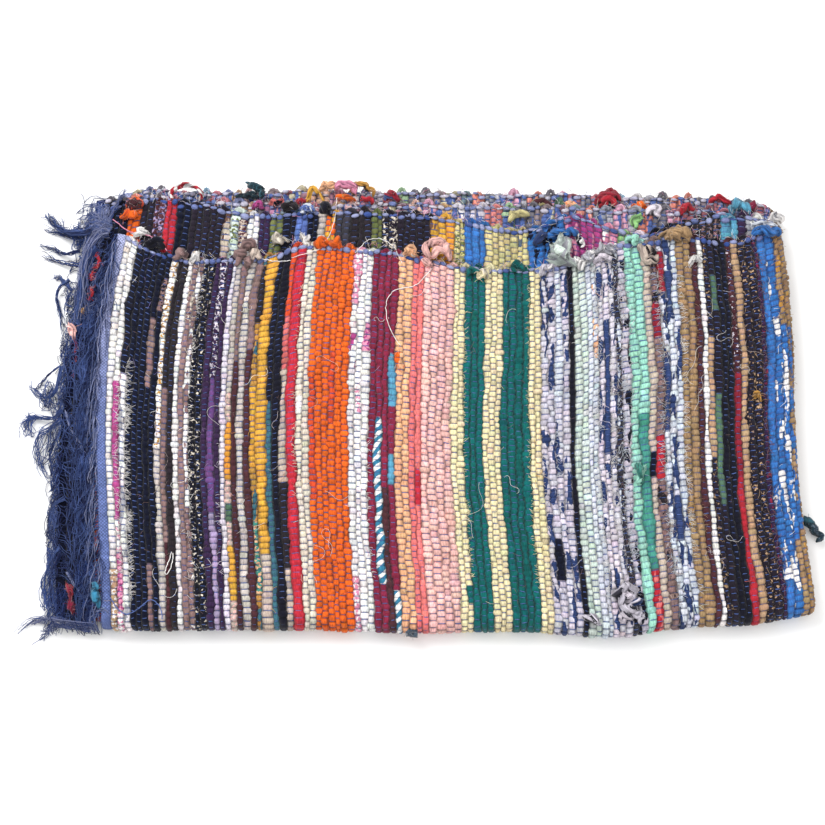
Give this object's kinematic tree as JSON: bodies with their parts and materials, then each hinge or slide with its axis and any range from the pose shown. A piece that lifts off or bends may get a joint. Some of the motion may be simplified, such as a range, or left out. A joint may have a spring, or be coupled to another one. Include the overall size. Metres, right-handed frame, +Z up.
{
  "type": "folded rag rug",
  "caption": "Rag rug woven from strips of waste cloth on blue warp, folded in quarters into a flat pack, with ribbed stripes, fringed ends and loose rag ends.",
  "frame": {"origin": "middle of the whole pack's box, at the floor it lies on", "axes": "+X along the rug's length, from its fringed ends to its cross fold; +Y from the long fold to the selvedges; +Z up, out of the top layer"},
  "size_m": [0.846, 0.4997, 0.0438],
  "materials": {
    "rag_weave": "hand-woven strips of waste cotton and jersey in many colours, matt and soft",
    "warp_blue": "twisted denim-blue cotton warp yarn, matt, with frayed ends",
    "red_white": "twisted red and white striped rag",
    "dark_teal": "dark teal and black printed rag, frayed",
    "mustard": "mustard, salmon and pink rag, soft jersey",
    "red": "deep red rag, knotted",
    "white": "undyed white cotton rag, knotted",
    "taupe": "taupe and cream rag, crumpled and frayed",
    "salmon": "salmon pink jersey rag, knotted in a small bow",
    "grey": "grey woven rag with a frayed point",
    "khaki": "khaki brown rag in a loop",
    "green": "green rag, knotted",
    "lilac": "lilac grey rag with navy blotches, crumpled"
  },
  "bodies": {
    "root": {"rug_cloth": "rag_weave", "fringe_outer": "warp_blue", "fringe_inner": "warp_blue", "rag_loop_red_white": "red_white", "rag_tail_dark_teal": "dark_teal", "rag_loop_mustard": "mustard", "rag_knot_red": "red", "rag_knot_white": "white", "rag_knot_taupe": "taupe", "rag_bow_salmon": "salmon", "rag_tail_grey": "grey", "rag_loop_khaki": "khaki", "rag_knot_green": "green", "rag_knot_lilac": "lilac", "rag_tail_teal_side": "dark_teal"}
  },
  "joints": []
}
